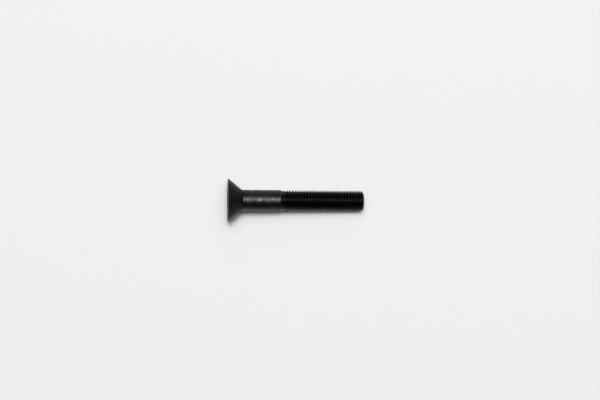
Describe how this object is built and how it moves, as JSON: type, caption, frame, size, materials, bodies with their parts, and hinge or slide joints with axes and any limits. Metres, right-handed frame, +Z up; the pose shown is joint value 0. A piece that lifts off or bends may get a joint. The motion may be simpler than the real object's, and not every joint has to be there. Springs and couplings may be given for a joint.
{
  "type": "countersunk socket screw",
  "caption": "Countersunk flat-head screw with a hexagon socket, a plain shank and a fine right-hand thread, in black steel, lying at rest.",
  "frame": {"origin": "bottom centre of the bounding box, on the surface that the screw lies on", "axes": "+X runs from the head to the point, level with the surface; +Z is up; the screw's own axis lies in the XZ plane and dips 4.74 degrees towards the point, because it rests on the head's rim and on the end of the thread"},
  "size_m": [0.0506, 0.0159, 0.0159],
  "materials": {
    "black_oxide_steel": "satin black oxide on alloy steel, lightly oiled"
  },
  "bodies": {
    "root": {"screw": "black_oxide_steel"}
  },
  "joints": []
}
